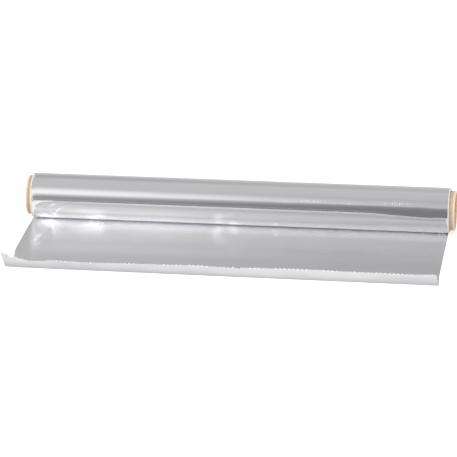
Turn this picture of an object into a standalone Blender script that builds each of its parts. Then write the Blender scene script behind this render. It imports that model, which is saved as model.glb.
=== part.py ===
"""A household roll of aluminium foil, partly unrolled.

One length of foil is wound on a cardboard core and is a single strip from its inner end
to its outer one: the turns, the free sheet that the last turn becomes as it leaves the
bottom of the roll, and the short lip that the sheet's saw-toothed torn edge is bent up to.
A few thick turns stand for the hundreds of thin ones.

Metres, +Z up, X along the roll. The origin is on the table, under the roll's axis and
halfway along it. The free sheet lies towards -Y.
"""

from math import ceil, cos, pi, radians, sin, sqrt

import bmesh
import bpy

MM = 0.001

# Cardboard core
CORE_BORE_RADIUS = 12.5 * MM
CORE_WALL = 1.5 * MM
CORE_OVERHANG = 3.2 * MM  # how far each end stands out of the foil
CORE_EDGE_ROUND = 0.3 * MM
CORE_STEPS = 72

# Foil, as drawn
FOIL_WIDTH = 300.0 * MM
FOIL_THICKNESS = 0.25 * MM
WINDING_GAP = 0.4 * MM  # between the core and the first turn
TURNS = 4
TURN_GAP = 0.14 * MM  # air between one turn and the next
STEPS_PER_TURN = 72
FLAT_SPOT = 3.0 * MM  # width of the strip that the roll has settled on

# Free sheet
SHEET_REACH = 98.6 * MM  # from under the roll's axis to where the lip starts to turn up
BEND_LINE_SLANT = 1.6 * MM  # how much nearer to the roll the bend line is at its -X end

# Lip at the torn edge
LIP_LENGTH = 8.5 * MM  # along the foil, from the start of the bend to the middle of the teeth
LIP_INNER_RADIUS = 0.8 * MM
LIP_BEND_STEPS = 6
LIP_ANGLE_DEG = 82.0
LIP_CURL_DEG = 9.0  # how much further back than that the lip leans at its middle
TOOTH_PITCH = 3.0 * MM
TOOTH_DEPTH = 1.0 * MM
TEETH_PER_PANEL = 4

# Across the torn edge, from its -X end (0) to its +X end (1): the lip's length, and how
# far it drifts towards -X for its length
LIP_LENGTH_SHARES = (
    (0.0, 1.42),
    (0.025, 1.08),
    (0.06, 0.76),
    (0.13, 0.86),
    (0.5, 0.93),
    (0.7, 1.01),
    (1.0, 1.1),
)
LIP_DRIFT_SHARES = ((0.0, 0.24), (0.08, 0.13), (1.0, 0.12))

# Worked out from the sizes above
core_outer_radius = CORE_BORE_RADIUS + CORE_WALL
turn_pitch = FOIL_THICKNESS + TURN_GAP
roll_radius = core_outer_radius + WINDING_GAP + FOIL_THICKNESS + TURNS * turn_pitch
axis_height = sqrt(roll_radius**2 - (FLAT_SPOT / 2) ** 2)
half_width = FOIL_WIDTH / 2
half_core = half_width + CORE_OVERHANG
bend_radius = LIP_INNER_RADIUS + FOIL_THICKNESS


def clear_scene():
    for old in list(bpy.data.objects):
        bpy.data.objects.remove(old, do_unlink=True)


def collection(name):
    made = bpy.data.collections.new(name)
    bpy.context.scene.collection.children.link(made)
    return made


def surface(name, colour, roughness, metallic):
    """A Principled material in one colour."""
    made = bpy.data.materials.new(name)
    made.use_nodes = True
    shader = made.node_tree.nodes["Principled BSDF"]
    shader.inputs["Base Color"].default_value = (*colour, 1)
    shader.inputs["Roughness"].default_value = roughness
    shader.inputs["Metallic"].default_value = metallic
    return made


def object_of(name, mesh, home, material):
    made = bpy.data.objects.new(name, mesh)
    mesh.materials.append(material)
    home.objects.link(made)
    return made


def cardboard_core(home, material):
    """The tube: its wall's section turned about the roll's axis, with the cut edges rounded."""
    wall = [
        (half_core, CORE_BORE_RADIUS),
        (half_core, core_outer_radius),
        (-half_core, core_outer_radius),
        (-half_core, CORE_BORE_RADIUS),
    ]
    mesh = bpy.data.meshes.new("cardboard_core")
    sides = [(i, (i + 1) % len(wall)) for i in range(len(wall))]
    mesh.from_pydata([(along, 0, radius) for along, radius in wall], sides, [])
    made = object_of("cardboard_core", mesh, home, material)
    made.location.z = axis_height

    turn = made.modifiers.new("turn", "SCREW")
    turn.axis = "X"
    turn.angle = 2 * pi
    turn.steps = CORE_STEPS
    turn.render_steps = CORE_STEPS
    turn.use_merge_vertices = True
    turn.merge_threshold = WINDING_GAP / CORE_STEPS
    turn.use_smooth_shade = True

    rounding = made.modifiers.new("cut_edges", "BEVEL")
    rounding.width = CORE_EDGE_ROUND
    rounding.segments = 2
    rounding.limit_method = "ANGLE"
    rounding.angle_limit = radians(60)
    return made


def wound_path():
    """The outer face of the turns, from the inner end to under the axis, as (y, z) points.

    Each turn is flattened where it lies on the ones below it, which lie on the table.
    """
    path = []
    for i in range(TURNS * STEPS_PER_TURN + 1):
        turns_outside = TURNS - i / STEPS_PER_TURN
        below = turns_outside * turn_pitch
        angle = 2 * pi * turns_outside - pi / 2
        radius = roll_radius - below
        path.append((radius * cos(angle), max(axis_height + radius * sin(angle), below)))
    return path


def across(table, share):
    """A table's value at a share of the width, eased between its entries."""
    for (low, before), (high, after) in zip(table, table[1:]):
        if share <= high:
            part = (share - low) / (high - low)
            return before + (after - before) * part * part * (3 - 2 * part)
    return table[-1][1]


def lip_angle(share):
    return radians(LIP_ANGLE_DEG + LIP_CURL_DEG * sin(pi * share))


def lip_point(share, travelled):
    """The lip's outer face at a share of the width, this far along the foil from the bend line."""
    full_turn = lip_angle(share)
    turn = min(travelled / bend_radius, full_turn)
    straight = travelled - bend_radius * turn
    bend_line = SHEET_REACH - BEND_LINE_SLANT * (1 - share)
    forward = bend_line + bend_radius * sin(turn) + straight * cos(full_turn)
    height = bend_radius * (1 - cos(turn)) + straight * sin(full_turn)
    along = (share - 0.5) * FOIL_WIDTH - across(LIP_DRIFT_SHARES, share) * travelled
    return (along, -forward, height)


def bend_row(share):
    """Points of the bend at one place across the width, from flat to fully turned up."""
    bend_length = bend_radius * lip_angle(share)
    return [lip_point(share, bend_length * i / LIP_BEND_STEPS) for i in range(LIP_BEND_STEPS + 1)]


def torn_edge(teeth):
    """The tips of the teeth and the notches between them, from the -X end to the +X end."""
    edge = []
    for i in range(2 * teeth + 1):
        share = i / (2 * teeth)
        tooth = TOOTH_DEPTH / 2 if i % 2 else -TOOTH_DEPTH / 2
        edge.append(lip_point(share, LIP_LENGTH * across(LIP_LENGTH_SHARES, share) + tooth))
    return edge


def foil(home, material):
    """The whole strip: its outer face as an open surface, given its thickness inwards."""
    panels = ceil(FOIL_WIDTH / (TOOTH_PITCH * TEETH_PER_PANEL))
    strip = bmesh.new()
    ends = [[strip.verts.new((side * half_width, y, z)) for side in (-1, 1)] for y, z in wound_path()]
    rows = [[strip.verts.new(point) for point in bend_row(i / panels)] for i in range(panels + 1)]
    edge = [strip.verts.new(point) for point in torn_edge(panels * TEETH_PER_PANEL)]

    for (left, right), (next_left, next_right) in zip(ends, ends[1:]):
        strip.faces.new((left, next_left, next_right, right))
    strip.faces.new((ends[-1][0], *[row[0] for row in rows], ends[-1][1]))
    for left, right in zip(rows, rows[1:]):
        for corner, below, beside_below, beside in zip(left, left[1:], right[1:], right):
            strip.faces.new((corner, below, beside_below, beside))
    stride = 2 * TEETH_PER_PANEL
    for i, (left, right) in enumerate(zip(rows, rows[1:])):
        strip.faces.new((left[-1], *edge[i * stride : (i + 1) * stride + 1], right[-1]))
    bmesh.ops.triangulate(strip, faces=[face for face in strip.faces if len(face.verts) > 4])

    mesh = bpy.data.meshes.new("foil")
    strip.to_mesh(mesh)
    strip.free()
    made = object_of("foil", mesh, home, material)
    thickness = made.modifiers.new("thickness", "SOLIDIFY")
    thickness.thickness = FOIL_THICKNESS
    thickness.offset = 1
    thickness.use_even_offset = True
    mesh.shade_smooth()
    mesh.set_sharp_from_angle(angle=radians(30))
    return made


def main():
    clear_scene()
    product = collection("foil_roll")
    cardboard = surface("cardboard", (0.66, 0.47, 0.29), 0.85, 0.0)
    aluminium = surface("aluminium_foil", (0.9, 0.9, 0.91), 0.22, 1.0)
    cardboard_core(product, cardboard)
    foil(product, aluminium)


main()
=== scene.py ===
"""A roll of aluminium foil on its cardboard core, lying on its own free sheet.

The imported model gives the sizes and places. This script makes the fine shapes and the
finishes over it: the bright outside of the roll with its soft dents, the spiral of turns at
each end, the satin free sheet with its torn and turned-up lip, and the kraft board core.
Everything is in metres, with +X along the roll and the free sheet towards -Y.
"""

from math import cos, exp, pi, radians, sin

import bmesh
import bpy
from mathutils import Matrix, Vector, noise


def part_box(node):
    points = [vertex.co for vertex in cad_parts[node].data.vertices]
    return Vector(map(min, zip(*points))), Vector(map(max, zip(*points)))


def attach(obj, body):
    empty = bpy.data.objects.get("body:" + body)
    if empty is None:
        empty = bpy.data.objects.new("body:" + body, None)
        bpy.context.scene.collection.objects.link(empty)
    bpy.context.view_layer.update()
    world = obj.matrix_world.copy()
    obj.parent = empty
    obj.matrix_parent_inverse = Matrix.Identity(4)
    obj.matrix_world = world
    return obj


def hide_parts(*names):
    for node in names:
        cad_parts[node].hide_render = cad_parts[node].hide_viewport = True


MM = 0.001

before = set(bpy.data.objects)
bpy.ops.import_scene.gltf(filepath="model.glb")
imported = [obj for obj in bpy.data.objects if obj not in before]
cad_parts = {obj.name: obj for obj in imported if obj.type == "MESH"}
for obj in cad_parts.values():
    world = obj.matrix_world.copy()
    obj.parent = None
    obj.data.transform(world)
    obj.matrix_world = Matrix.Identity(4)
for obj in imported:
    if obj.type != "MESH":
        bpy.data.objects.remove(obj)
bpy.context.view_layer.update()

foil_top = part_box("foil")[1].z
core_low, core_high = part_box("cardboard_core")

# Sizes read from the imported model
AXIS_HEIGHT = (core_low.z + core_high.z) / 2
CORE_RADIUS = (core_high.z - core_low.z) / 2
CORE_LENGTH = core_high.x - core_low.x
ROLL_RADIUS = foil_top - AXIS_HEIGHT

# The rest of the roll
FOIL_WIDTH = 300.0 * MM
CORE_WALL = 1.5 * MM
CORE_RIGHT_EXTRA = 1.5 * MM  # the core is not quite centred in the foil
ROLL_LEFT_SET_BACK = 0.7 * MM  # the turns' left edges lie inside the free sheet's
WOUND_BORE_RADIUS = CORE_RADIUS + 0.12 * MM
CLEAR_OF_TABLE = 0.03 * MM

# Tones of the foil's two sides, of the painted highlights on them, of its edges and the painted glints
# on its torn tips, and of the board
BRIGHT_TONE = (0.93, 0.929, 0.934)
BRIGHT_HIGHLIGHT_TONE = (1.0, 1.0, 1.0)
SATIN_TONE = (0.812, 0.811, 0.817)
SATIN_HIGHLIGHT_TONE = (0.98, 0.98, 0.98)
TURN_EDGE_TONE = (0.95, 0.93, 0.89)
TORN_TIP_GLINT_TONE = (0.98, 0.975, 0.96)
BOARD_DARK_TONE = (0.55, 0.37, 0.21)
BOARD_LIGHT_TONE = (0.76, 0.55, 0.37)
BOARD_SEAM_TONE = (0.42, 0.27, 0.14)
BOARD_CUT_TONE = (0.93, 0.71, 0.53)

# Smoothest and roughest the finishes get, and how deep their rolling lines are
BRIGHT_ROUGHNESS = (0.07, 0.12)
BRIGHT_LINE_DEPTH = 0.003 * MM
SATIN_ROUGHNESS = (0.20, 0.24)
SATIN_LINE_DEPTH = 0.0015 * MM
EDGE_ROUGHNESS = (0.55, 0.70)
EDGE_LINE_DEPTH = 0.004 * MM
TURN_EDGE_METALLIC = 0.35
# How metallic the sheet's painted glints and the roll's rows of painted glints are
SHEET_GLINT_METALLIC = 0.35
BAND_GLINT_METALLIC = 0.2

# Noise grain, as marks to the metre along each axis
ROLLING_LINES_GRAIN = (5200, 14, 14)
ROLLING_CLOUD_GRAIN = (60, 25, 25)
# The stray noise that scatters the roll's painted glints
STRAY_GLINTS_GRAIN = (900, 900, 900)
BOARD_FIBRES_GRAIN = (900, 2600, 2600)
BOARD_BLOTCHES_GRAIN = (140, 160, 160)

# The camera, fitted to the outlines in the photograph
PHOTO_SIZE_PX = 457
CAMERA_AZIMUTH = radians(8.87)
CAMERA_ELEVATION = radians(21.83)
CAMERA_ROLL = radians(-1.06)
CAMERA_DISTANCE = 2.111
CAMERA_FOCAL_PX = 2987
CAMERA_TARGET = Vector((-0.0036, -0.03, 0.0078))
SENSOR_WIDTH_MM = 36.0


def smooth_step(low, high, value):
    """0 below low, 1 above high, eased between them."""
    part = min(max((value - low) / (high - low), 0), 1)
    return part * part * (3 - 2 * part)


def hump(centre, width, value):
    """A smooth bump of height 1 at its centre."""
    return exp(-(((value - centre) / width) ** 2))


def read_between(table, share):
    """A table's value at a share, eased between its entries."""
    for (low, before), (high, after) in zip(table, table[1:]):
        if share <= high:
            return before + (after - before) * smooth_step(low, high, share)
    return table[-1][1]


# Materials


# Which of a Mix node's inputs and outputs are its colours
COLOUR_A = 6
COLOUR_B = 7
MIXED_COLOUR = 2


def sockets(group, side, kind, *names):
    """New inputs or outputs of a node group."""
    for name in names:
        group.interface.new_socket(name=name, in_out=side, socket_type=kind)


def link(tree, source, target):
    tree.links.new(source, target)


def add(tree, kind, inputs=(), **settings):
    """A new node with its settings, and with inputs by name or number.

    Each input is a value or another node's output.
    """
    node = tree.nodes.new(kind)
    for name, value in settings.items():
        setattr(node, name, value)
    for name, value in dict(inputs).items():
        if isinstance(value, bpy.types.NodeSocket):
            link(tree, value, node.inputs[name])
        else:
            node.inputs[name].default_value = value
    return node


def maths(tree, operation, *values):
    return add(tree, "ShaderNodeMath", enumerate(values), operation=operation).outputs[0]


def product(tree, first, second):
    return maths(tree, "MULTIPLY", first, second)


def vector_maths(tree, operation, first, second):
    return add(tree, "ShaderNodeVectorMath", {0: first, 1: second}, operation=operation)


def stretched_noise(tree, coordinates, grain, detail, roughness=0.5):
    """Noise with as many marks to the metre along each axis as its grain says."""
    mapped = add(tree, "ShaderNodeMapping", {"Vector": coordinates, "Scale": grain}).outputs["Vector"]
    texture = {"Vector": mapped, "Scale": 1, "Detail": detail, "Roughness": roughness}
    return add(tree, "ShaderNodeTexNoise", texture).outputs["Fac"]


def ranged(tree, value, low, high, from_low=0.3, from_high=0.7, way="LINEAR"):
    """low where the value is at most from_low, high where it is at least from_high."""
    limits = {"From Min": from_low, "From Max": from_high, "To Min": low, "To Max": high}
    node = add(tree, "ShaderNodeMapRange", {"Value": value, **limits}, interpolation_type=way)
    return node.outputs["Result"]


def blend(tree, amount, first, second):
    """first where amount is 0, second where it is 1."""
    return ranged(tree, amount, first, second, 0.0, 1.0)


def eased(tree, value, low, high):
    """0 below low, 1 above high, eased between them."""
    return ranged(tree, value, 0.0, 1.0, low, high, "SMOOTHSTEP")


def mixed_colour(tree, amount, first, second):
    factor_and_colours = {"Factor": amount, COLOUR_A: first, COLOUR_B: second}
    return add(tree, "ShaderNodeMix", factor_and_colours, data_type="RGBA").outputs[MIXED_COLOUR]


def place_parts(tree):
    """The X, Y and Z of the place on the object."""
    place = add(tree, "ShaderNodeTexCoord").outputs["Object"]
    return add(tree, "ShaderNodeSeparateXYZ", {"Vector": place}).outputs


def rolled_finish_group():
    """The finish that a rolling mill leaves: fine lines along the foil, in its roughness and relief."""
    group = bpy.data.node_groups.new("rolled_finish", "ShaderNodeTree")
    sockets(group, "INPUT", "NodeSocketFloat", "Smoothest", "Roughest", "Line Depth")
    sockets(group, "OUTPUT", "NodeSocketFloat", "Roughness")
    sockets(group, "OUTPUT", "NodeSocketVector", "Normal")
    given = add(group, "NodeGroupInput").outputs
    place = add(group, "ShaderNodeTexCoord").outputs["Object"]
    lines = stretched_noise(group, place, ROLLING_LINES_GRAIN, detail=3)
    cloud = stretched_noise(group, place, ROLLING_CLOUD_GRAIN, detail=4)
    mixed = product(group, maths(group, "ADD", lines, cloud), 0.5)
    rough = ranged(group, mixed, given["Smoothest"], given["Roughest"])
    relief = {"Strength": 1, "Distance": given["Line Depth"], "Height": lines}
    normal = add(group, "ShaderNodeBump", relief).outputs["Normal"]
    add(group, "NodeGroupOutput", {"Roughness": rough, "Normal": normal})
    return group


def soft_spot_group():
    """1 at a spot's centre, fading to 0 around it. All lengths are in metres."""
    group = bpy.data.node_groups.new("soft_spot", "ShaderNodeTree")
    sockets(group, "INPUT", "NodeSocketVector", "Place", "Centre", "Size")
    sockets(group, "INPUT", "NodeSocketFloat", "Turn")
    sockets(group, "OUTPUT", "NodeSocketFloat", "Amount")
    given = add(group, "NodeGroupInput").outputs
    away = vector_maths(group, "SUBTRACT", given["Place"], given["Centre"]).outputs[0]
    turning = {"Vector": away, "Angle": given["Turn"]}
    turned = add(group, "ShaderNodeVectorRotate", turning, rotation_type="Z_AXIS").outputs[0]
    scaled = vector_maths(group, "DIVIDE", turned, given["Size"]).outputs[0]
    square = vector_maths(group, "DOT_PRODUCT", scaled, scaled).outputs["Value"]
    fading = maths(group, "EXPONENT", product(group, square, -1))
    add(group, "NodeGroupOutput", {"Amount": fading})
    return group


def spots(tree, spot, across, up, places):
    """Where any of the spots is.

    Each is its centre across and up, and its length and breadth, in millimetres, and the degrees
    that its length is turned from level.
    """
    flat = add(tree, "ShaderNodeCombineXYZ", {"X": across, "Y": up}).outputs[0]
    total = None
    for x, y, length, breadth, turn in places:
        shape = {
            "Place": flat,
            "Centre": (x * MM, y * MM, 0),
            "Size": (length * MM, breadth * MM, 1),
            "Turn": radians(-turn),
        }
        amount = add(tree, "ShaderNodeGroup", shape, node_tree=spot).outputs["Amount"]
        total = amount if total is None else maths(tree, "ADD", total, amount)
    return maths(tree, "MINIMUM", total, 1.0)


def paint_foil_highlights(tree, painted_sheen, painted_glints, plain_tone, highlight_tone, glint_metallic):
    """Paints highlights on a foil: lighter at its painted highlights and painted glints, and less
    metallic at the glints.
    """
    shader = tree.nodes["Principled BSDF"].inputs
    lighter = maths(tree, "MAXIMUM", painted_sheen, painted_glints)
    link(tree, mixed_colour(tree, lighter, (*plain_tone, 1), (*highlight_tone, 1)), shader["Base Color"])
    link(tree, blend(tree, painted_glints, 1.0, glint_metallic), shader["Metallic"])


# Painted highlights: patches where the foil is made lighter. A place on the roll is how far along it
# and how high, and on the sheet how far along and away from the roll.
ROLL_PAINTED_HIGHLIGHTS = (
    (-139, 5.8, 6, 1.8, 0),
    (-134, 8.8, 3.4, 1.3, -60),
    (-100, 5.5, 4.5, 2.4, 0),
    (-14, 9, 4.5, 2.6, 30),
    (-5, 12.5, 4.5, 2, 30),
)
SHEET_PAINTED_HIGHLIGHTS = (
    (-138.5, -10, 7, 4.5, 0),
    (-132, -22, 13, 1.8, -74),
    (-137.5, -53, 2.8, 4.5, 0),
    (-104, -15, 6, 8, 0),
    (-111, -22, 12, 8, 0),
    (-14.5, -19, 3.6, 10, 0),
    (-4, -9, 4, 2.5, 0),
    (27, -11, 2, 2, 0),
)

# A broad stretch beside the roll with a fainter painted highlight, a painted reflection of the roll
SHEET_FAINT_HIGHLIGHTS = ((-60, -20, 30, 12, 0),)
SHEET_FAINT_HIGHLIGHT_STRENGTH = 0.42

# Painted glints: where the sheet is made pale and less metallic
SHEET_PAINTED_GLINTS = (
    (-138.8, -40, 2.2, 4.6, 0),
    (-139.5, -47, 1.6, 3, 0),
    (-132.6, -20, 9, 1.2, -74),
    (-101, -11, 4, 3.4, 0),
)

# Rows of painted glints on the outer turn, above the front: pale, less metallic specks
BAND_GLINT_SPOTS = (
    (35, 23.6, 4, 0.8, 0),
    (53, 24.4, 8, 0.8, 0),
    (80, 24, 6, 0.8, 0),
    (114, 24.9, 10, 1, 0),
)
BAND_GLINT_PITCH = 1.7 * MM

# Where a painted glint begins, and is whole, in the wave that its rows follow and in stray noise
BAND_GLINT_ROW_EDGES = (-0.2, 0.8)
BAND_GLINT_STRAY_EDGES = (0.46, 0.58)


def paint_bright_foil_highlights(made, spot):
    """The roll's painted highlights: lighter patches, and rows of pale, less metallic painted glints.
    """
    tree = made.node_tree
    parts = place_parts(tree)
    in_front = maths(tree, "LESS_THAN", parts["Y"], 0.0)
    upright = (tree, spot, parts["X"], parts["Z"])
    painted_sheen = spots(*upright, ROLL_PAINTED_HIGHLIGHTS)
    glint_bands = spots(*upright, BAND_GLINT_SPOTS)
    rows = maths(tree, "SINE", product(tree, parts["X"], 2 * pi / BAND_GLINT_PITCH))
    place = tree.nodes["Texture Coordinate"].outputs["Object"]
    strayed = stretched_noise(tree, place, STRAY_GLINTS_GRAIN, detail=1)
    in_rows = ranged(tree, rows, 0.0, 1.0, *BAND_GLINT_ROW_EDGES)
    glint_specks = product(tree, in_rows, ranged(tree, strayed, 0.0, 1.0, *BAND_GLINT_STRAY_EDGES))
    band_glints = product(tree, glint_specks, product(tree, in_front, glint_bands))
    front_sheen = product(tree, in_front, painted_sheen)
    paint_foil_highlights(tree, front_sheen, band_glints, BRIGHT_TONE, BRIGHT_HIGHLIGHT_TONE, BAND_GLINT_METALLIC)


def paint_satin_foil_highlights(made, spot):
    """The sheet's painted highlights: lighter patches, a fainter broad one, and pale painted glints."""
    tree = made.node_tree
    parts = place_parts(tree)
    flat = (tree, spot, parts["X"], parts["Y"])
    painted_sheen = spots(*flat, SHEET_PAINTED_HIGHLIGHTS)
    faint_sheen = spots(*flat, SHEET_FAINT_HIGHLIGHTS)
    painted_sheen = maths(tree, "MAXIMUM", painted_sheen, product(tree, faint_sheen, SHEET_FAINT_HIGHLIGHT_STRENGTH))
    painted_glints = spots(*flat, SHEET_PAINTED_GLINTS)
    paint_foil_highlights(tree, painted_sheen, painted_glints, SATIN_TONE, SATIN_HIGHLIGHT_TONE, SHEET_GLINT_METALLIC)


def empty_material(name):
    made = bpy.data.materials.new(name)
    made.use_nodes = True
    return made, made.node_tree, made.node_tree.nodes["Principled BSDF"]


def foil_material(name, colour, roughness, line_depth, finish, metallic=1.0):
    """roughness is the smoothest and the roughest that the foil gets."""
    made, tree, shader = empty_material(name)
    shader.inputs["Base Color"].default_value = (*colour, 1)
    shader.inputs["Metallic"].default_value = metallic
    amounts = {"Smoothest": roughness[0], "Roughest": roughness[1], "Line Depth": line_depth}
    grain = add(tree, "ShaderNodeGroup", amounts, node_tree=finish).outputs
    link(tree, grain["Roughness"], shader.inputs["Roughness"])
    link(tree, grain["Normal"], shader.inputs["Normal"])
    return made


PLY_WIDTH = 60 * MM

# Where the seam, as shares of the ply's width, and the pale of a cut end start to fade and are gone
SEAM_HALF_WIDTH_SHARES = (0.002, 0.010)
CUT_END_DEPTH = (1.1 * MM, 1.5 * MM)

FIBRES_SHARE = 0.6  # of the board's mottling, the rest being blotches
BOARD_ROUGHNESS = (0.78, 0.95)
BOARD_RELIEF = 0.12 * MM
BOARD_RELIEF_STRENGTH = 0.6
SEAM_DEPTH_SHARE = 0.8  # of the board's relief


def kraft_board_material():
    """Spiral-wound kraft board: mottled fibres, the seam of the outer ply, and pale cut ends."""
    made, tree, shader = empty_material("kraft_board")
    parts = place_parts(tree)
    place = tree.nodes["Texture Coordinate"].outputs["Object"]
    height = maths(tree, "SUBTRACT", parts["Z"], AXIS_HEIGHT)
    turn = maths(tree, "DIVIDE", maths(tree, "ARCTAN2", height, parts["Y"]), 2 * pi)

    # The outer ply is wound on at a slant, so its edge comes round once in the ply's width.
    wound = maths(tree, "ADD", maths(tree, "DIVIDE", parts["X"], PLY_WIDTH), turn)
    off_seam = maths(tree, "ABSOLUTE", maths(tree, "SUBTRACT", maths(tree, "FRACT", wound), 0.5))
    seam = ranged(tree, off_seam, 1.0, 0.0, *SEAM_HALF_WIDTH_SHARES)

    fibres = stretched_noise(tree, place, BOARD_FIBRES_GRAIN, detail=5, roughness=0.65)
    blotches = stretched_noise(tree, place, BOARD_BLOTCHES_GRAIN, detail=3)
    off_middle = maths(tree, "SUBTRACT", parts["X"], CORE_RIGHT_EXTRA / 2)
    half_core = (CORE_LENGTH + CORE_RIGHT_EXTRA) / 2
    pale_from, pale_at = half_core - CUT_END_DEPTH[1], half_core - CUT_END_DEPTH[0]
    cut_end = ranged(tree, maths(tree, "ABSOLUTE", off_middle), 0.0, 1.0, pale_from, pale_at)
    fibre_tone = product(tree, fibres, FIBRES_SHARE)
    tone = maths(tree, "ADD", fibre_tone, product(tree, blotches, 1 - FIBRES_SHARE))
    board = add(tree, "ShaderNodeValToRGB", {"Fac": tone})
    board_tones = ((0.3, BOARD_DARK_TONE), (0.7, BOARD_LIGHT_TONE))
    for stop, (at, colour) in zip(board.color_ramp.elements, board_tones):
        stop.position = at
        stop.color = (*colour, 1)
    shaded = mixed_colour(tree, seam, board.outputs["Color"], (*BOARD_SEAM_TONE, 1))
    ended = mixed_colour(tree, cut_end, shaded, (*BOARD_CUT_TONE, 1))
    link(tree, ended, shader.inputs["Base Color"])
    link(tree, ranged(tree, fibres, *BOARD_ROUGHNESS), shader.inputs["Roughness"])
    proud = maths(tree, "SUBTRACT", tone, product(tree, seam, SEAM_DEPTH_SHARE))
    relief = {"Strength": BOARD_RELIEF_STRENGTH, "Distance": BOARD_RELIEF, "Height": proud}
    link(tree, add(tree, "ShaderNodeBump", relief).outputs["Normal"], shader.inputs["Normal"])
    return made


# Mesh helpers

SHARP_FROM = radians(35)


def piece(name, vertices, faces, *materials):
    mesh = bpy.data.meshes.new(name)
    mesh.from_pydata(vertices, [], faces)
    for material in materials:
        mesh.materials.append(material)
    made = bpy.data.objects.new(name, mesh)
    bpy.context.scene.collection.objects.link(made)
    return made


def applied(made):
    """The object with its modifiers turned into plain mesh."""
    evaluated = made.evaluated_get(bpy.context.evaluated_depsgraph_get())
    plain = bpy.data.meshes.new_from_object(evaluated)
    made.modifiers.clear()
    made.data = plain
    return made


def finished(made, slot, *nodes):
    made.data.shade_smooth()
    made.data.set_sharp_from_angle(angle=SHARP_FROM)
    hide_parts(*nodes)
    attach(made, "root")


# Geometry Nodes helpers


def new_shape_tree(name, *numbers):
    """A geometry tree with named number inputs and a place, and its group input's outputs."""
    tree = bpy.data.node_groups.new(name, "GeometryNodeTree")
    sockets(tree, "INPUT", "NodeSocketFloat", *numbers)
    sockets(tree, "INPUT", "NodeSocketVector", "Place")
    sockets(tree, "OUTPUT", "NodeSocketGeometry", "Geometry")
    return tree, add(tree, "NodeGroupInput").outputs


def rectangle(tree, width, height):
    shape = {"Width": width, "Height": height}
    return add(tree, "GeometryNodeCurvePrimitiveQuadrilateral", shape).outputs["Curve"]


def sweep_and_lay(tree, path, section, place, material, capped):
    """Sweeps a section along a path round Z, turns it to lie round X, and paints it."""
    curves = {"Curve": path, "Profile Curve": section, "Fill Caps": capped}
    swept = add(tree, "GeometryNodeCurveToMesh", curves).outputs["Mesh"]
    laying = {"Geometry": swept, "Rotation": (0, pi / 2, 0), "Translation": place}
    laid = add(tree, "GeometryNodeTransform", laying).outputs["Geometry"]
    realized = add(tree, "GeometryNodeRealizeInstances", {"Geometry": laid}).outputs["Geometry"]
    painting = {"Geometry": realized, "Material": material}
    painted = add(tree, "GeometryNodeSetMaterial", painting).outputs["Geometry"]
    add(tree, "NodeGroupOutput", {"Geometry": painted})


def shape_from(name, tree, values):
    """An object whose mesh a geometry tree makes, with its inputs set by name."""
    made = piece(name, [], [])
    modifier = made.modifiers.new(name, "NODES")
    modifier.node_group = tree
    for item in tree.interface.items_tree:
        if item.item_type == "SOCKET" and item.in_out == "INPUT" and item.name in values:
            modifier[item.identifier] = values[item.name]
    return applied(made)


# The cardboard core

CORE_STEPS = 160
CORE_EDGE_ROUND = 0.18 * MM
CORE_EDGE_STEPS = 4


def core_tree(material):
    """A tube along X: its wall's section, with rounded corners, swept round a circle."""
    tree, given = new_shape_tree("core_tube", "Length", "Middle Radius", "Wall", "Edge Round")
    turning = {"Resolution": CORE_STEPS, "Radius": given["Middle Radius"]}
    circle = add(tree, "GeometryNodeCurvePrimitiveCircle", turning).outputs["Curve"]
    section = rectangle(tree, given["Wall"], given["Length"])
    rounding = {"Curve": section, "Radius": given["Edge Round"], "Count": CORE_EDGE_STEPS}
    rounded = add(tree, "GeometryNodeFilletCurve", rounding, mode="POLY").outputs["Curve"]
    sweep_and_lay(tree, circle, rounded, given["Place"], material, capped=False)
    return tree


def make_core(material):
    values = {
        "Length": CORE_LENGTH + CORE_RIGHT_EXTRA,
        "Middle Radius": CORE_RADIUS - CORE_WALL / 2,
        "Wall": CORE_WALL,
        "Edge Round": CORE_EDGE_ROUND,
        "Place": (CORE_RIGHT_EXTRA / 2, 0, AXIS_HEIGHT),
    }
    core = shape_from("core_tube", core_tree(material), values)
    finished(core, "kraft_board", "cardboard_core")
    core.visible_glossy = False  # the foil in the photograph shows no tan


# The wound roll

ROLL_LEFT_END = -FOIL_WIDTH / 2 + ROLL_LEFT_SET_BACK
ROLL_RIGHT_END = FOIL_WIDTH / 2
ROLL_FINE_WIDTH = 34 * MM  # the crumpled left end has closer columns
ROLL_FINE_COLUMNS = 110
ROLL_COLUMNS = 400
ROLL_STEPS = 180

# Creases in the crumpled left end: from, to, width and depth. A place is how far along in
# millimetres and how far round in degrees, 0 at the front and growing over the top.
LEFT_CREASES = (
    ((-147, -12), (-135, 1), 1.1, 0.12),
    ((-149, -62), (-133, -24), 1.2, 0.20),
    ((-144, -19), (-133, -38), 1.1, 0.16),
    ((-141, -6), (-126, -3), 1.2, 0.08),
    ((-149, -14), (-142, -34), 1.0, 0.16),
    ((-134, -22), (-133, -56), 1.6, 0.14),
)

# Soft dents: how far along and round, width along and round, and depth, in the same units
DENTS = (
    (-133.5, -34, 2.4, 16, 0.20),
    (-100, -46, 4, 11, 0.26),
    (-94, -38, 2.6, 14, 0.09),
    (-12, -38, 5, 12, 0.16),
    (-4, -46, 5, 12, 0.08),
    (26, -30, 5, 12, 0.03),
    (-58, -40, 7, 14, 0.08),
    (104, -40, 7, 12, 0.06),
)


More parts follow.
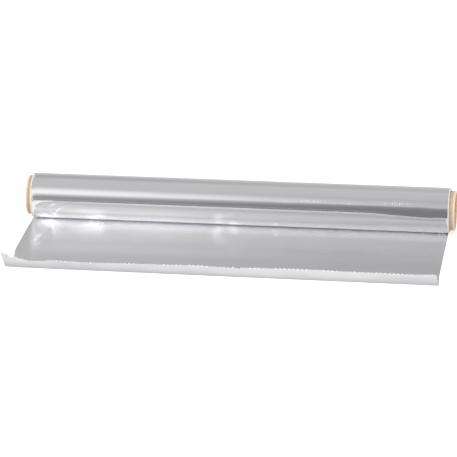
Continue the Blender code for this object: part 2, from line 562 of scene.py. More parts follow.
# The relief of the roll's bright outside. Angles are 0 at the front and grow over the top. A grain
# is the noise's marks to the metre along the roll and its scale round it.
BROAD_WAVES = 0.035 * MM
BROAD_GRAIN = (22, 0.9)
RIPPLES = 0.010 * MM
RIPPLE_GRAIN = (75, 1.6)
BAG_DEPTH = 0.62 * MM  # the slack of the outer turn at the front, towards its right end
BAG_ANGLE = radians(-9)
BAG_SPREAD = radians(15)
BAG_START = 85 * MM
BAG_FULL = 138 * MM
BAG_WAVES = 0.09 * MM
BAG_GRAIN = (140, 2.5)
BAG_WAVES_START = 118 * MM
BAG_WAVES_FULL = 145 * MM
CRUMPLE_DEPTH = 0.22 * MM  # of the crumpled left end
CRUMPLE_GRAIN = (150, 3.4)
CRUMPLE_PLACE = -142 * MM
CRUMPLE_WIDTH = 13 * MM
CRUMPLE_ANGLE = -0.72
CRUMPLE_SPREAD = 0.55
LEAST_CRUMPLE = 0.01
CREASES_END = -118 * MM
CREASES_DEG = -30
CREASES_REACH_DEG = 60
DENTS_TOP_DEG = 10
SAG_DEPTH = 0.2 * MM  # a slack turn sags where it leaves the roll
SAG_ANGLE = radians(-62)
SAG_SPREAD = radians(24)
END_DROP = 0.10 * MM
END_DROP_WIDTH = 0.7 * MM
LEFT_RIM_DROP = 0.65 * MM
LEFT_RIM_WIDTH = 1.4 * MM
LEFT_RIM_GRAIN = 14
LEFT_RIM_LAYER = 2.0
LEFT_RIM_EVEN = 0.8  # how much of its drop is everywhere
LEFT_RIM_UNEVEN = 1.3
CREASE_FADE = 0.5  # how much of its depth a crease has lost at its far end


def crease_depth(along_mm, round_deg, crease):
    """A straight crease's depth at a place, on the surface rolled out flat."""
    (x0, a0), (x1, a1), width, depth = crease
    mm_per_degree = radians(1) * ROLL_RADIUS / MM
    start, end = Vector((x0, a0 * mm_per_degree)), Vector((x1, a1 * mm_per_degree))
    point, run = Vector((along_mm, round_deg * mm_per_degree)), end - start
    part = min(max((point - start).dot(run) / run.length_squared, 0), 1)
    away = (point - start - run * part).length
    return depth * MM * exp(-((away / width) ** 2)) * (1 - CREASE_FADE * part)


def grain_place(along, angle, grain, shift=(0, 0, 0)):
    """A place in noise space for one on the roll, so that the noise has no seam round the roll."""
    place = (along * grain[0], cos(angle) * grain[1], sin(angle) * grain[1])
    return Vector([value + offset for value, offset in zip(place, shift)])


def roll_relief(along, angle):
    """How far the bright outside of the roll stands proud of a true cylinder."""
    along_mm, round_deg = along / MM, angle * 180 / pi
    relief = BROAD_WAVES * noise.noise(grain_place(along, angle, BROAD_GRAIN))
    relief += RIPPLES * noise.noise(grain_place(along, angle, RIPPLE_GRAIN, (0, 5, 0)))

    bag = hump(BAG_ANGLE, BAG_SPREAD, angle)
    relief += BAG_DEPTH * smooth_step(BAG_START, BAG_FULL, along) * bag
    bag_waves = noise.noise(grain_place(along, angle, BAG_GRAIN, (0, 0, 9)))
    relief += BAG_WAVES * smooth_step(BAG_WAVES_START, BAG_WAVES_FULL, along) * bag_waves

    crumpled = hump(CRUMPLE_PLACE, CRUMPLE_WIDTH, along) * hump(CRUMPLE_ANGLE, CRUMPLE_SPREAD, angle)
    if crumpled > LEAST_CRUMPLE:
        facet = noise.voronoi(grain_place(along, angle, CRUMPLE_GRAIN))[0]
        relief -= CRUMPLE_DEPTH * crumpled * (facet[1] - facet[0])
    if along < CREASES_END and abs(round_deg - CREASES_DEG) < CREASES_REACH_DEG:
        relief -= sum(crease_depth(along_mm, round_deg, crease) for crease in LEFT_CREASES)
    if round_deg < DENTS_TOP_DEG:
        for x, a, width, spread, depth in DENTS:
            relief -= depth * MM * hump(x, width, along_mm) * hump(a, spread, round_deg)

    relief += SAG_DEPTH * hump(SAG_ANGLE, SAG_SPREAD, angle)
    to_edge = min(along - ROLL_LEFT_END, ROLL_RIGHT_END - along)
    relief -= END_DROP * exp(-to_edge / END_DROP_WIDTH)
    round_rim = (cos(angle) * LEFT_RIM_GRAIN, sin(angle) * LEFT_RIM_GRAIN, LEFT_RIM_LAYER)
    ragged = LEFT_RIM_EVEN + LEFT_RIM_UNEVEN * noise.noise(Vector(round_rim))
    relief -= LEFT_RIM_DROP * ragged * exp(-(along - ROLL_LEFT_END) / LEFT_RIM_WIDTH)
    return relief


def roll_column(column):
    """How far along the roll one of its columns of points is."""
    if column < ROLL_FINE_COLUMNS:
        return ROLL_LEFT_END + ROLL_FINE_WIDTH * column / ROLL_FINE_COLUMNS
    start = ROLL_LEFT_END + ROLL_FINE_WIDTH
    part = (column - ROLL_FINE_COLUMNS) / (ROLL_COLUMNS - ROLL_FINE_COLUMNS)
    return start + (ROLL_RIGHT_END - start) * part


def make_roll(material):
    """The turns as one closed ring, with its outer face as a fine grid."""
    vertices = []
    for column in range(ROLL_COLUMNS + 1):
        along = roll_column(column)
        for step in range(ROLL_STEPS):
            angle = 2 * pi * step / ROLL_STEPS
            radius = ROLL_RADIUS + roll_relief(along, angle if angle < pi else angle - 2 * pi)
            height = max(AXIS_HEIGHT + radius * sin(angle), CLEAR_OF_TABLE)
            vertices.append((along, -radius * cos(angle), height))
    outer = len(vertices)
    for end in (ROLL_LEFT_END, ROLL_RIGHT_END):
        for step in range(ROLL_STEPS):
            angle = 2 * pi * step / ROLL_STEPS
            height = AXIS_HEIGHT + WOUND_BORE_RADIUS * sin(angle)
            vertices.append((end, -WOUND_BORE_RADIUS * cos(angle), height))
    faces = []
    for step in range(ROLL_STEPS):
        beside = (step + 1) % ROLL_STEPS
        for column in range(ROLL_COLUMNS):
            near, far = column * ROLL_STEPS, (column + 1) * ROLL_STEPS
            faces.append((near + step, near + beside, far + beside, far + step))
        left, right, last = outer, outer + ROLL_STEPS, ROLL_COLUMNS * ROLL_STEPS
        faces.append((left + step, left + beside, beside, step))
        faces.append((last + step, last + beside, right + beside, right + step))
        faces.append((right + step, right + beside, left + beside, left + step))
    roll = piece("wound_roll", vertices, faces, material)
    turned_out(roll.data)
    finished(roll, "bare_foil", "foil")


def turned_out(mesh):
    """Makes the faces of a closed mesh point outwards."""
    shape = bmesh.new()
    shape.from_mesh(mesh)
    bmesh.ops.recalc_face_normals(shape, faces=shape.faces)
    shape.to_mesh(mesh)
    shape.free()


EDGE_TURNS = 14.0
EDGE_STEPS_PER_TURN = 90
EDGE_WIDTH = 0.05 * MM
EDGE_CLEAR_OF_BORE = 0.05 * MM
EDGE_CLEAR_OF_OUTSIDE = 0.16 * MM
LEFT_EDGE_HEIGHT = 0.9 * MM
RIGHT_EDGE_HEIGHT = 1.5 * MM


def turn_edges_tree(material):
    """The edges of the turns as a flat spiral ridge, standing on one end of the roll."""
    sizes = ("Turns", "Inner Radius", "Outer Radius", "Ridge Width", "Ridge Height")
    tree, given = new_shape_tree("turn_edges", *sizes)
    winding = {
        "Resolution": EDGE_STEPS_PER_TURN,
        "Rotations": given["Turns"],
        "Start Radius": given["Inner Radius"],
        "End Radius": given["Outer Radius"],
        "Height": 0,
    }
    spiral = add(tree, "GeometryNodeCurveSpiral", winding).outputs["Curve"]
    section = rectangle(tree, given["Ridge Width"], given["Ridge Height"])
    sweep_and_lay(tree, spiral, section, given["Place"], material, capped=True)
    return tree


def make_turn_edges(material):
    tree = turn_edges_tree(material)
    ends = (
        (ROLL_LEFT_END, "turn_edges_left", LEFT_EDGE_HEIGHT),
        (ROLL_RIGHT_END, "turn_edges_right", RIGHT_EDGE_HEIGHT),
    )
    values = {
        "Turns": EDGE_TURNS,
        "Inner Radius": WOUND_BORE_RADIUS + EDGE_CLEAR_OF_BORE,
        "Outer Radius": ROLL_RADIUS - EDGE_CLEAR_OF_OUTSIDE,
        "Ridge Width": EDGE_WIDTH,
    }
    for end, name, ridge in ends:
        values.update({"Ridge Height": ridge, "Place": (end, 0, AXIS_HEIGHT)})
        made = shape_from(name, tree, values)
        finished(made, "bare_foil", "foil")


# The free sheet and its lip

SHEET_COLUMNS = 600
SHEET_ROWS = 46
BEND_ROWS = 8
LIP_ROWS = 10
SHEET_START = -1.4 * MM  # behind the roll's axis, under the roll
SHEET_GAUGE = 0.05 * MM
BEND_LINE = 99.2 * MM
BEND_LINE_SLANT = 1.6 * MM
BEND_RADIUS = 1.1 * MM
LIP_LENGTH = 8.5 * MM
TOOTH_PITCH = 3.0 * MM
TOOTH_DEPTH = 1.0 * MM
LIP_ANGLE = radians(82)
LIP_CURL = radians(9)  # how much further back than that the lip leans at its middle
LIP_UNEVEN = radians(5)
LIP_FLUTTER = 0.25 * MM
LIP_FLUTTER_START = 6 * MM
LIP_STATION_POWER = 1.4  # brings the rows closer together towards the torn edge
SHORTEST_LIP = 1.0 * MM
TIP_LENGTH = 0.8 * MM
TIP_CURL = 0.2 * MM
TIP_ROWS = 2
BRIGHT_INDEX, TIP_GLINT_INDEX = 1, 2  # of the sheet's materials, after its satin one
GLINT_TIP_FROM = 0.3  # the share of a tooth, from its notch, beyond which a ragged one gets a painted glint

# Noises along the torn edge: marks to the metre, and the row and layer that is read
TOOTH_NOISE = (190, 3.1, 0)
RAGGED_NOISE = (900, 7.7, 0)
LEAN_NOISE = (26, 1.3, 4.0)
TIP_CURL_NOISE = (240, 9.1, 0)

# Noises over the sheet: marks to the metre along and away from the roll, and the layer
BROAD_NOISE = (16, 20, 2.0)
RIPPLE_NOISE = (60, 34, 8.0)
CRUMPLE_NOISE = (95, 120, 5.0)
FLUTTER_NOISE = (50, 60, 6.0)

# Across the sheet, from its left end (0) to its right end (1): the lip's length, and how far it
# drifts to the left for its length
LIP_LENGTH_SHARES = (
    (0.0, 1.40), (0.012, 1.34), (0.022, 1.02), (0.03, 1.08), (0.045, 0.90), (0.06, 0.76),
    (0.09, 0.79), (0.112, 0.90), (0.14, 0.87), (0.2, 0.83), (0.35, 0.91), (0.45, 0.97),
    (0.52, 0.91), (0.7, 1.03), (0.8, 1.0), (0.95, 1.06), (1.0, 1.12),
)
LIP_DRIFT_SHARES = ((0.0, 0.26), (0.08, 0.13), (0.9, 0.10), (1.0, 0.16))


def edge_noise(along, grain, row, layer):
    return noise.noise(Vector((along * grain, row, layer)))


def sheet_noise(along, away, grain_along, grain_away, layer):
    return noise.noise(Vector((along * grain_along, away * grain_away, layer)))


def bend_line(share):
    return BEND_LINE - BEND_LINE_SLANT * (1 - share)


def tooth_share(share):
    """0 in the notches of the torn edge, 1 at the tips of its teeth."""
    return 1 - abs(2 * ((share * FOIL_WIDTH / TOOTH_PITCH) % 1) - 1)


# Stretches of the torn edge, as shares of its length, where the teeth left it ragged; the tips of its
# teeth there get a painted glint
RAGGED_SHARES = (
    (0.122, 0.149), (0.200, 0.208), (0.226, 0.234), (0.283, 0.314), (0.374, 0.380),
    (0.404, 0.414), (0.432, 0.478), (0.528, 0.541), (0.572, 0.602), (0.628, 0.690),
    (0.696, 0.713), (0.742, 0.774), (0.804, 0.823), (0.862, 0.945), (0.977, 0.983),
)


def torn_roughly(share):
    return any(low <= share <= high for low, high in RAGGED_SHARES)


# How deep the teeth are, as shares of a whole tooth: at least, commonly, and more in noise and in
# ragged stretches. One stretch near the right end was cut clean.
LEAST_TOOTH = 0.12
COMMON_TOOTH = 0.35
UNEVEN_TOOTH = 0.5
CLEAN_STRETCH_PLACE = 0.955
CLEAN_STRETCH_WIDTH = 0.014
CLEAN_STRETCH_LOSS = 0.85
RAGGEDNESS = 0.25 * MM
LEFT_RAGGEDNESS = 0.8 * MM  # more of it at the left corner
LEFT_RAGGED_WIDTH = 0.06


def lip_length(share):
    """From the bend line to the torn edge: a broad shape, and the teeth of the cutter on it."""
    along = share * FOIL_WIDTH
    uneven = edge_noise(along, *TOOTH_NOISE) + torn_roughly(share)
    torn = max(COMMON_TOOTH + UNEVEN_TOOTH * uneven, LEAST_TOOTH)
    clean = 1 - CLEAN_STRETCH_LOSS * hump(CLEAN_STRETCH_PLACE, CLEAN_STRETCH_WIDTH, share)
    at_left = 1 - smooth_step(0, LEFT_RAGGED_WIDTH, share)
    ragged = edge_noise(along, *RAGGED_NOISE) * (RAGGEDNESS + LEFT_RAGGEDNESS * at_left)
    broad = LIP_LENGTH * read_between(LIP_LENGTH_SHARES, share)
    return broad + clean * (TOOTH_DEPTH * torn * (tooth_share(share) - 0.5) + ragged)


def lip_angle(share):
    lean = LIP_ANGLE + LIP_CURL * sin(pi * share)
    return lean + LIP_UNEVEN * edge_noise(share * FOIL_WIDTH, *LEAN_NOISE)


LEFT_CORNER_SHIFT = 2.0 * MM
LEFT_CORNER_PLACE = 81 * MM
LEFT_CORNER_LENGTH = 9 * MM
LEFT_CORNER_WIDTH = 0.03
RIGHT_CORNER_SHIFT = 0.9 * MM
RIGHT_CORNER_START = 84 * MM
RIGHT_CORNER_END = 99 * MM
RIGHT_CORNER_WIDTH = 0.02


def side_shift(share, travelled):
    """Sideways set of the sheet near its front corners."""
    left = hump(LEFT_CORNER_PLACE, LEFT_CORNER_LENGTH, travelled) * exp(-share / LEFT_CORNER_WIDTH)
    right = smooth_step(RIGHT_CORNER_START, RIGHT_CORNER_END, travelled)
    right *= exp(-(1 - share) / RIGHT_CORNER_WIDTH)
    return LEFT_CORNER_SHIFT * left + RIGHT_CORNER_SHIFT * right


LEFT_CURL = 0.5 * MM  # how far the sheet's left margin lifts
LEFT_CURL_WIDTH = 5 * MM
SHEET_BROAD_WAVES = 0.30 * MM
SHEET_RIPPLES = 0.015 * MM
SHEET_CRUMPLES = 0.3 * MM
SHEET_CRUMPLES_PLACE = 0.05  # as a share of the sheet's width
SHEET_CRUMPLES_WIDTH = 0.06
SHEET_CRUMPLES_AWAY = 14 * MM
SHEET_CRUMPLES_DEPTH = 14 * MM

# Where the sheet starts to lift off the table, is free, starts to settle again and has settled
SHEET_FREE_FROM = (8 * MM, 24 * MM)
SHEET_SETTLES_FROM = (80 * MM, 97 * MM)
SHEET_SETTLED = 0.8  # how much of its waves the sheet has lost by then
LEFT_CURL_FROM = (4 * MM, 20 * MM)
SHEET_DENTS_FROM_MM = (3, 7)

# Soft dents and a fold in the free sheet: how far along, how far from the axis, width along, width
# away, height, all in millimetres
SHEET_DENTS = (
    (-140, 10, 6, 4.5, 0.16),
    (-132.3, 16, 3.0, 11, 0.04),
    (-138.5, 40, 3.0, 5, 0.26),
    (-102.8, 15, 4.5, 6, 0.12),
    (-14.5, 20, 4, 8, 0.12),
    (26, 14, 3, 6, 0.04),
    (64, 16, 5, 7, 0.10),
)


def sheet_waves(share, travelled):
    """Height of the sheet over the table: it is never quite flat, least of all at its left margin."""
    along = share * FOIL_WIDTH
    settled = SHEET_SETTLED * smooth_step(*SHEET_SETTLES_FROM, travelled)
    free = smooth_step(*SHEET_FREE_FROM, travelled) * (1 - settled)
    broad = 0.5 + 0.5 * sheet_noise(along, travelled, *BROAD_NOISE)
    fine = 0.5 + 0.5 * sheet_noise(along, travelled, *RIPPLE_NOISE)
    crumple = abs(sheet_noise(along, travelled, *CRUMPLE_NOISE))
    crumpled = hump(SHEET_CRUMPLES_PLACE, SHEET_CRUMPLES_WIDTH, share)
    crumpled *= hump(SHEET_CRUMPLES_AWAY, SHEET_CRUMPLES_DEPTH, travelled)
    waves = SHEET_BROAD_WAVES * broad + SHEET_RIPPLES * fine + SHEET_CRUMPLES * crumpled * crumple
    waves *= free
    waves += LEFT_CURL * exp(-along / LEFT_CURL_WIDTH) * smooth_step(*LEFT_CURL_FROM, travelled)
    along_mm, away_mm = (share - 0.5) * FOIL_WIDTH / MM, travelled / MM
    off_roll = smooth_step(*SHEET_DENTS_FROM_MM, away_mm)
    for x, y, width, depth, height in SHEET_DENTS:
        waves += height * MM * hump(x, width, along_mm) * hump(y, depth, away_mm) * off_roll
    return waves


def sheet_point(share, travelled):
    """The sheet's lower face, this far along the foil from under the roll's axis."""
    line = bend_line(share)
    full_turn = lip_angle(share)
    on_sheet = min(travelled, line)
    beyond = max(travelled - line, 0)
    turn = min(beyond / BEND_RADIUS, full_turn)
    straight = beyond - BEND_RADIUS * turn
    along = share * FOIL_WIDTH
    flutter = LIP_FLUTTER * sheet_noise(along, straight, *FLUTTER_NOISE)
    flutter *= smooth_step(0, LIP_FLUTTER_START, straight)
    forward = on_sheet + BEND_RADIUS * sin(turn) + straight * cos(full_turn) + flutter
    height = BEND_RADIUS * (1 - cos(turn)) + straight * sin(full_turn)
    tip = max(0, 1 - (line + lip_length(share) - travelled) / TIP_LENGTH)
    forward -= TIP_CURL * tip * tip * max(0, edge_noise(along, *TIP_CURL_NOISE))
    drift = read_between(LIP_DRIFT_SHARES, share) * beyond
    across = (share - 0.5) * FOIL_WIDTH + side_shift(share, on_sheet) - drift
    return (across, -forward, CLEAR_OF_TABLE + sheet_waves(share, on_sheet) + height)


def sheet_stations(share):
    """Distances along the foil at which one column of the sheet has its points."""
    line = bend_line(share)
    bend = BEND_RADIUS * lip_angle(share)
    flat = [SHEET_START + (line - SHEET_START) * i / SHEET_ROWS for i in range(SHEET_ROWS)]
    turning = [line + bend * i / BEND_ROWS for i in range(BEND_ROWS)]
    left = max(lip_length(share) - bend, SHORTEST_LIP)
    shares = [1 - (1 - i / LIP_ROWS) ** LIP_STATION_POWER for i in range(LIP_ROWS + 1)]
    return flat + turning + [line + bend + left * part for part in shares]


def make_sheet(bright, satin, tip_glints):
    vertices = []
    for column in range(SHEET_COLUMNS + 1):
        share = column / SHEET_COLUMNS
        vertices.extend(sheet_point(share, travelled) for travelled in sheet_stations(share))
    height = SHEET_ROWS + BEND_ROWS + LIP_ROWS + 1
    faces = []
    for column in range(SHEET_COLUMNS):
        for row in range(height - 1):
            near, far = column * height + row, (column + 1) * height + row
            faces.append((near, near + 1, far + 1, far))
    sheet = piece("free_sheet", vertices, faces, satin, bright, tip_glints)
    gauge = sheet.modifiers.new("gauge", "SOLIDIFY")
    gauge.thickness = SHEET_GAUGE
    gauge.offset = 1
    gauge.use_even_offset = False
    applied(sheet)
    # The side that was outermost on the roll is bright, and so is the rim
    for face in list(sheet.data.polygons)[len(faces) :]:
        face.material_index = BRIGHT_INDEX
    # Painted glints: the tips of ragged teeth get a pale, dull material
    for column in range(SHEET_COLUMNS):
        share = (column + 0.5) / SHEET_COLUMNS
        if torn_roughly(share) and tooth_share(share) > GLINT_TIP_FROM:
            for row in range(height - 1 - TIP_ROWS, height - 1):
                face = sheet.data.polygons[len(faces) + column * (height - 1) + row]
                face.material_index = TIP_GLINT_INDEX
    finished(sheet, "bare_foil", "foil")


# Studio

FLOOR_SIZE = 14.0
FLOOR_TONE = (0.78, 0.78, 0.78)
FLOOR_ROUGHNESS = 0.9
FLOOR_GLOW_SEEN = 0.55
FLOOR_GLOW_IN_FOIL = 0.2
WORLD_GLOW = 0.55  # on anything dull, such as the board and the floor
MOST_BOUNCES = 20
BRIGHTEST = 2.5  # strength that a full stop of a level ramp stands for
CARD_TINT = (0.990, 0.988, 1.005, 1)
TENT_RADIUS = 2.6
TENT_SEGMENTS = 60
TENT_LEFT = -1.3
TENT_RIGHT = 1.1
HALF_TURN_DEG = 180

# Where the tent turns from its left levels to its right ones
TENT_LEFT_END = -0.77
TENT_RIGHT_START = -0.06

# How bright the tent is by the elevation seen from the object, in degrees from the front (0) over
# the top (90) to the back (180), at its left and its right
LEFT_LEVELS = (
    (0, 0.31), (12, 0.34), (16, 0.40), (20, 0.51), (26, 0.74), (33, 0.98), (44, 1.0), (100, 1.0),
    (120, 0.48), (135, 0.42), (147, 0.45), (157, 0.56), (180, 0.72),
)
RIGHT_LEVELS = (
    (0, 0.20), (16, 0.21), (26, 0.27), (33, 0.36), (38, 0.45), (44, 0.53), (100, 0.54),
    (120, 0.51), (135, 0.49), (147, 0.52), (157, 0.56), (180, 0.62),
)

# The same for the card that hangs close over the roll, by how far forward of the axis, in millimetres.
# A card's two edges are given by their place in Y and Z.
OVERHEAD_FRONT_MM = 60
OVERHEAD_EDGES = ((-OVERHEAD_FRONT_MM * MM, 50 * MM), (5 * MM, 50 * MM))
OVERHEAD_LEFT_END = -0.17
OVERHEAD_RIGHT_START = 0.15
OVERHEAD_LEFT_LEVELS = ((0, 0.56), (21, 0.56), (25, 0.61), (29, 0.74), (34, 0.87), (40, 0.98))
OVERHEAD_RIGHT_LEVELS = ((0, 0.56), (18, 0.53), (23, 0.48), (30, 0.50), (40, 0.53))

# Light that the foil has thrown to and fro between the cards and the camera: how many of its faces
# it was thrown off, and its strength at the left and the right. It takes over from the plain levels
# between one face and three.
DEEP_LEFT_LEVELS = ((2, 0.82), (3, 0.98), (5, 1.9), (8, 2.3), (12, 2.2))
DEEP_RIGHT_LEVELS = ((2, 0.58), (3, 0.71), (5, 1.12), (8, 1.45), (12, 1.35))
DEEP_FROM = 1.0
DEEP_ALL_FROM = 3.0

# Factors on light that was thrown off two faces: by elevation, with one more from left to right,
# and by how far forward of the axis it left the card over the roll. That card tells light off the
# sheet from light off the roll by the way it has come.
ONCE_FACTORS = (
    (0, 1.0), (8, 1.15), (16, 1.5), (28, 1.4), (42, 1.3), (66, 1.3), (80, 0.5), (180, 0.5),
)
ONCE_LEFT_FACTOR = 0.74
ONCE_RIGHT_FACTOR = 1.12
LONGEST_WAY_OFF_ROLL = 44 * MM
SHORTEST_WAY_OFF_SHEET = 50 * MM
OVERHEAD_ONCE_FACTORS = ((0, 0.3), (24, 0.4), (38, 1.2), (60, 1.3))
OFF_SHEET_ONCE_FACTORS = ((0, 1.0), (24, 1.15), (34, 1.2), (60, 1.2))

# A painted shadow on the table just in front of the lip, seen only in the foil, by the distance from
# its foot in millimetres
LIP_FOOT = 99.6 * MM
LIP_FOOT_SLOPE = BEND_LINE_SLANT / FOIL_WIDTH
LIP_FOOT_REACH_MM = 30
LIP_FOOT_SHADOW_LEVELS = ((0, 0.56), (4, 0.69), (9, 0.82), (16, 0.88), (30, 0.92))
LIP_FOOT_LEFT_FACTOR = 0.95
LIP_FOOT_PLAIN_FROM = 0.12

# The cards on and close to the table
CARDS_LEFT = -0.4
CARDS_RIGHT = 0.4
NEAR_CARDS_LEFT_END = -0.20
NEAR_CARDS_RIGHT_START = 0.13
LIP_CARD_EDGES = ((-131 * MM, 0.02 * MM), (-97.5 * MM, 0.02 * MM))
FOREGROUND_EDGES = ((-150 * MM, 0), (-150 * MM, 17 * MM))
FOREGROUND_LEFT_LEVEL = 0.30
FOREGROUND_RIGHT_LEVEL = 0.20

# Lamps: place, size and power
LEFT_LAMP = ((-0.8, -1.3, 2.0), 1.6, 30)
RIGHT_LAMP = ((1.9, -0.9, 0.7), 0.8, 12)


def camera_matrix():
    a, e = CAMERA_AZIMUTH, CAMERA_ELEVATION
    back = Vector((sin(a) * cos(e), -cos(a) * cos(e), sin(e)))
    level = Vector((cos(a), sin(a), 0))
    upward = back.cross(level)
    right = level * cos(CAMERA_ROLL) + upward * sin(CAMERA_ROLL)
    up = back.cross(right)
    matrix = Matrix((right, up, back)).transposed().to_4x4()
    matrix.translation = CAMERA_TARGET + back * CAMERA_DISTANCE
    return matrix


def make_camera():
    data = bpy.data.cameras.new("camera")
    data.sensor_width = SENSOR_WIDTH_MM
    data.lens = CAMERA_FOCAL_PX / PHOTO_SIZE_PX * SENSOR_WIDTH_MM
    camera = bpy.data.objects.new("camera", data)
    camera.matrix_world = camera_matrix()
    bpy.context.scene.collection.objects.link(camera)
    bpy.context.scene.camera = camera


def seen_directly(tree):
    """1 for rays from the camera, or off metal or through glass."""
    rays = add(tree, "ShaderNodeLightPath").outputs
    either = maths(tree, "MAXIMUM", rays["Is Camera Ray"], rays["Is Glossy Ray"])
    return maths(tree, "MAXIMUM", either, rays["Is Transmission Ray"])


def make_world():
    world = bpy.data.worlds.new("studio")
    world.use_nodes = True
    bpy.context.scene.world = world
    tree = world.node_tree
    plain = tree.nodes["Background"]
    plain.inputs["Color"].default_value = (1, 1, 1, 1)
    link(tree, blend(tree, seen_directly(tree), WORLD_GLOW, 1.0), plain.inputs["Strength"])


def make_floor():
    half = FLOOR_SIZE / 2
    corners = [(-half, -half, 0), (half, -half, 0), (half, half, 0), (-half, half, 0)]
    floor = piece("floor", corners, [(0, 1, 2, 3)])
    made, tree, shader = empty_material("pale_floor")
    shader.inputs["Base Color"].default_value = (*FLOOR_TONE, 1)
    shader.inputs["Roughness"].default_value = FLOOR_ROUGHNESS
    shader.inputs["Specular IOR Level"].default_value = 0
    shader.inputs["Emission Color"].default_value = (1, 1, 1, 1)
    rays = add(tree, "ShaderNodeLightPath").outputs
    in_foil = maths(tree, "MAXIMUM", rays["Is Glossy Ray"], rays["Is Transmission Ray"])
    seen = product(tree, rays["Is Camera Ray"], FLOOR_GLOW_SEEN)
    reflected = product(tree, in_foil, FLOOR_GLOW_IN_FOIL)
    link(tree, maths(tree, "MAXIMUM", seen, reflected), shader.inputs["Emission Strength"])
    floor.data.materials.append(made)


def make_lamp(name, place, size, power):
    """A broad soft lamp for the board and the floor. Metal sees the tent instead."""
    data = bpy.data.lights.new(name, "AREA")
    data.shape = "DISK"
    data.size = size
    data.energy = power
    lamp = bpy.data.objects.new(name, data)
    lamp.location = place
    lamp.rotation_euler = (-Vector(place)).to_track_quat("-Z", "Y").to_euler()
    lamp.visible_glossy = False
    bpy.context.scene.collection.objects.link(lamp)


def level_ramp(tree, place, span, levels):
    """The strength that a table of places and levels gives at a place from 0 to span."""
    ramp = add(tree, "ShaderNodeValToRGB", {"Fac": maths(tree, "DIVIDE", place, span)})
    stops = ramp.color_ramp.elements
    while len(stops) < len(levels):
        stops.new(0.5)
    for stop, (at, level) in zip(stops, levels):
        stop.position = at / span
        stop.color = (level / BRIGHTEST, level / BRIGHTEST, level / BRIGHTEST, 1)
    return product(tree, ramp.outputs["Color"], BRIGHTEST)


def between_ramps(tree, amount, place, span, first, second):
    """The first table's strength where amount is 0, the second's where it is 1."""
    before = level_ramp(tree, place, span, first)
    return blend(tree, amount, before, level_ramp(tree, place, span, second))


def reflected_card(name, vertices, faces, level):
    """A plain glowing surface that only polished metal sees.

    level makes, from its place, how far across it is and its strength.
    """
    card = piece(name, vertices, faces)
    made, tree, shader = empty_material(name)
    made.cycles.emission_sampling = "NONE"
    tree.nodes.remove(shader)
    across, plain = level(tree, place_parts(tree))
    depth = add(tree, "ShaderNodeLightPath").outputs["Glossy Depth"]
    deep = between_ramps(tree, across, depth, MOST_BOUNCES, DEEP_LEFT_LEVELS, DEEP_RIGHT_LEVELS)
    share = ranged(tree, depth, 0.0, 1.0, DEEP_FROM, DEEP_ALL_FROM)
    strength = blend(tree, share, plain, deep)
    glow = add(tree, "ShaderNodeEmission", {"Color": CARD_TINT, "Strength": strength})
    link(tree, glow.outputs["Emission"], tree.nodes["Material Output"].inputs["Surface"])
    card.data.materials.append(made)
    card.visible_camera = card.visible_diffuse = card.visible_shadow = False


def thrown_on_once(tree, factor):
    """A factor on light that the foil has thrown on just once before it is seen in it."""
    depth = add(tree, "ShaderNodeLightPath").outputs["Glossy Depth"]
    off = maths(tree, "ABSOLUTE", maths(tree, "SUBTRACT", depth, 2.0))
    return blend(tree, off, factor, 1.0)


def tent_level(tree, place):
    across = eased(tree, place["X"], TENT_LEFT_END, TENT_RIGHT_START)
    forward = product(tree, place["Y"], -1)
    elevation = product(tree, maths(tree, "ARCTAN2", place["Z"], forward), 180 / pi)
    plain = between_ramps(tree, across, elevation, HALF_TURN_DEG, LEFT_LEVELS, RIGHT_LEVELS)
    once = level_ramp(tree, elevation, HALF_TURN_DEG, ONCE_FACTORS)
    once = product(tree, once, blend(tree, across, ONCE_LEFT_FACTOR, ONCE_RIGHT_FACTOR))
    return across, product(tree, plain, thrown_on_once(tree, once))


def overhead_level(tree, place):
    across = eased(tree, place["X"], OVERHEAD_LEFT_END, OVERHEAD_RIGHT_START)
    forward = product(tree, place["Y"], -1 / MM)
    placed = (forward, OVERHEAD_FRONT_MM)
    plain = between_ramps(tree, across, *placed, OVERHEAD_LEFT_LEVELS, OVERHEAD_RIGHT_LEVELS)
    way = add(tree, "ShaderNodeLightPath").outputs["Ray Length"]
    off_sheet = eased(tree, way, LONGEST_WAY_OFF_ROLL, SHORTEST_WAY_OFF_SHEET)
    once = between_ramps(tree, off_sheet, *placed, OVERHEAD_ONCE_FACTORS, OFF_SHEET_ONCE_FACTORS)
    return across, product(tree, plain, thrown_on_once(tree, once))


def foreground_level(tree, place):
    across = eased(tree, place["X"], NEAR_CARDS_LEFT_END, NEAR_CARDS_RIGHT_START)
    return across, blend(tree, across, FOREGROUND_LEFT_LEVEL, FOREGROUND_RIGHT_LEVEL)


def lip_foot_shadow_level(tree, place):
    """A painted shadow: darker close to the foot of the lip, which runs at a slight slant."""
    across = eased(tree, place["X"], NEAR_CARDS_LEFT_END, NEAR_CARDS_RIGHT_START)
    foot = maths(tree, "MULTIPLY_ADD", place["X"], LIP_FOOT_SLOPE, LIP_FOOT)
    beyond = maths(tree, "SUBTRACT", product(tree, place["Y"], -1), foot)
    level = level_ramp(tree, maths(tree, "DIVIDE", beyond, MM), LIP_FOOT_REACH_MM, LIP_FOOT_SHADOW_LEVELS)
    plain_share = eased(tree, place["X"], 0.0, LIP_FOOT_PLAIN_FROM)
    return across, product(tree, blend(tree, plain_share, LIP_FOOT_LEFT_FACTOR, 1.0), level)


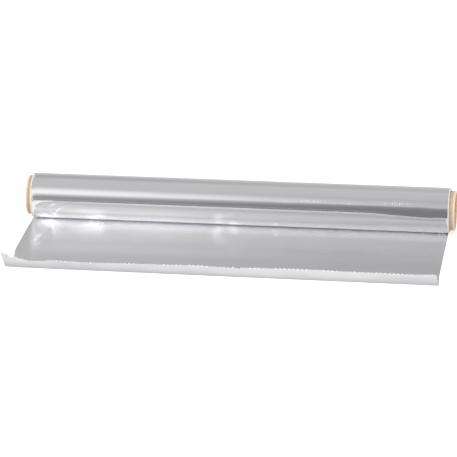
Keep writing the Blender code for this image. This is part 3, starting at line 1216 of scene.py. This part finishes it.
def make_tent():
    """A half round of white cloth over the object, with its bright and dark parts."""
    vertices = []
    for i in range(TENT_SEGMENTS + 1):
        angle = pi * i / TENT_SEGMENTS
        y, z = -TENT_RADIUS * cos(angle), TENT_RADIUS * sin(angle)
        vertices += [(TENT_LEFT, y, z), (TENT_RIGHT, y, z)]
    faces = [(2 * i, 2 * i + 1, 2 * i + 3, 2 * i + 2) for i in range(TENT_SEGMENTS)]
    reflected_card("tent", vertices, faces, tent_level)


def make_flat_card(name, first, second, level):
    """A card between two edges along X, each given as its place in Y and Z."""
    corners = [
        (CARDS_LEFT, *first),
        (CARDS_RIGHT, *first),
        (CARDS_RIGHT, *second),
        (CARDS_LEFT, *second),
    ]
    reflected_card(name, corners, [(0, 1, 2, 3)], level)


def make_studio():
    scene = bpy.context.scene
    scene.view_settings.view_transform = "Standard"
    # Between the roll and the sheet, light is thrown to and fro many times, and stays sharp
    scene.cycles.max_bounces = MOST_BOUNCES
    scene.cycles.glossy_bounces = MOST_BOUNCES
    scene.cycles.blur_glossy = 0
    make_world()
    make_floor()
    make_lamp("left_lamp", *LEFT_LAMP)
    make_lamp("right_lamp", *RIGHT_LAMP)
    make_tent()
    make_flat_card("overhead_card", *OVERHEAD_EDGES, overhead_level)
    make_flat_card("lip_foot_shadow_card", *LIP_CARD_EDGES, lip_foot_shadow_level)
    make_flat_card("foreground_card", *FOREGROUND_EDGES, foreground_level)


def main():
    finish = rolled_finish_group()
    bright = foil_material("bright_foil", BRIGHT_TONE, BRIGHT_ROUGHNESS, BRIGHT_LINE_DEPTH, finish)
    satin = foil_material("satin_foil", SATIN_TONE, SATIN_ROUGHNESS, SATIN_LINE_DEPTH, finish)
    edges = foil_material(
        "turn_edge_foil", TURN_EDGE_TONE, EDGE_ROUGHNESS, EDGE_LINE_DEPTH, finish, TURN_EDGE_METALLIC
    )
    # Pale, dull tips of the torn edge: a painted glint
    tip_glints = foil_material("torn_tip_glint_foil", TORN_TIP_GLINT_TONE, EDGE_ROUGHNESS, EDGE_LINE_DEPTH, finish, 0.0)
    spot = soft_spot_group()
    paint_bright_foil_highlights(bright, spot)
    paint_satin_foil_highlights(satin, spot)
    make_camera()
    make_studio()
    make_core(kraft_board_material())
    make_roll(bright)
    make_turn_edges(edges)
    make_sheet(bright, satin, tip_glints)


main()
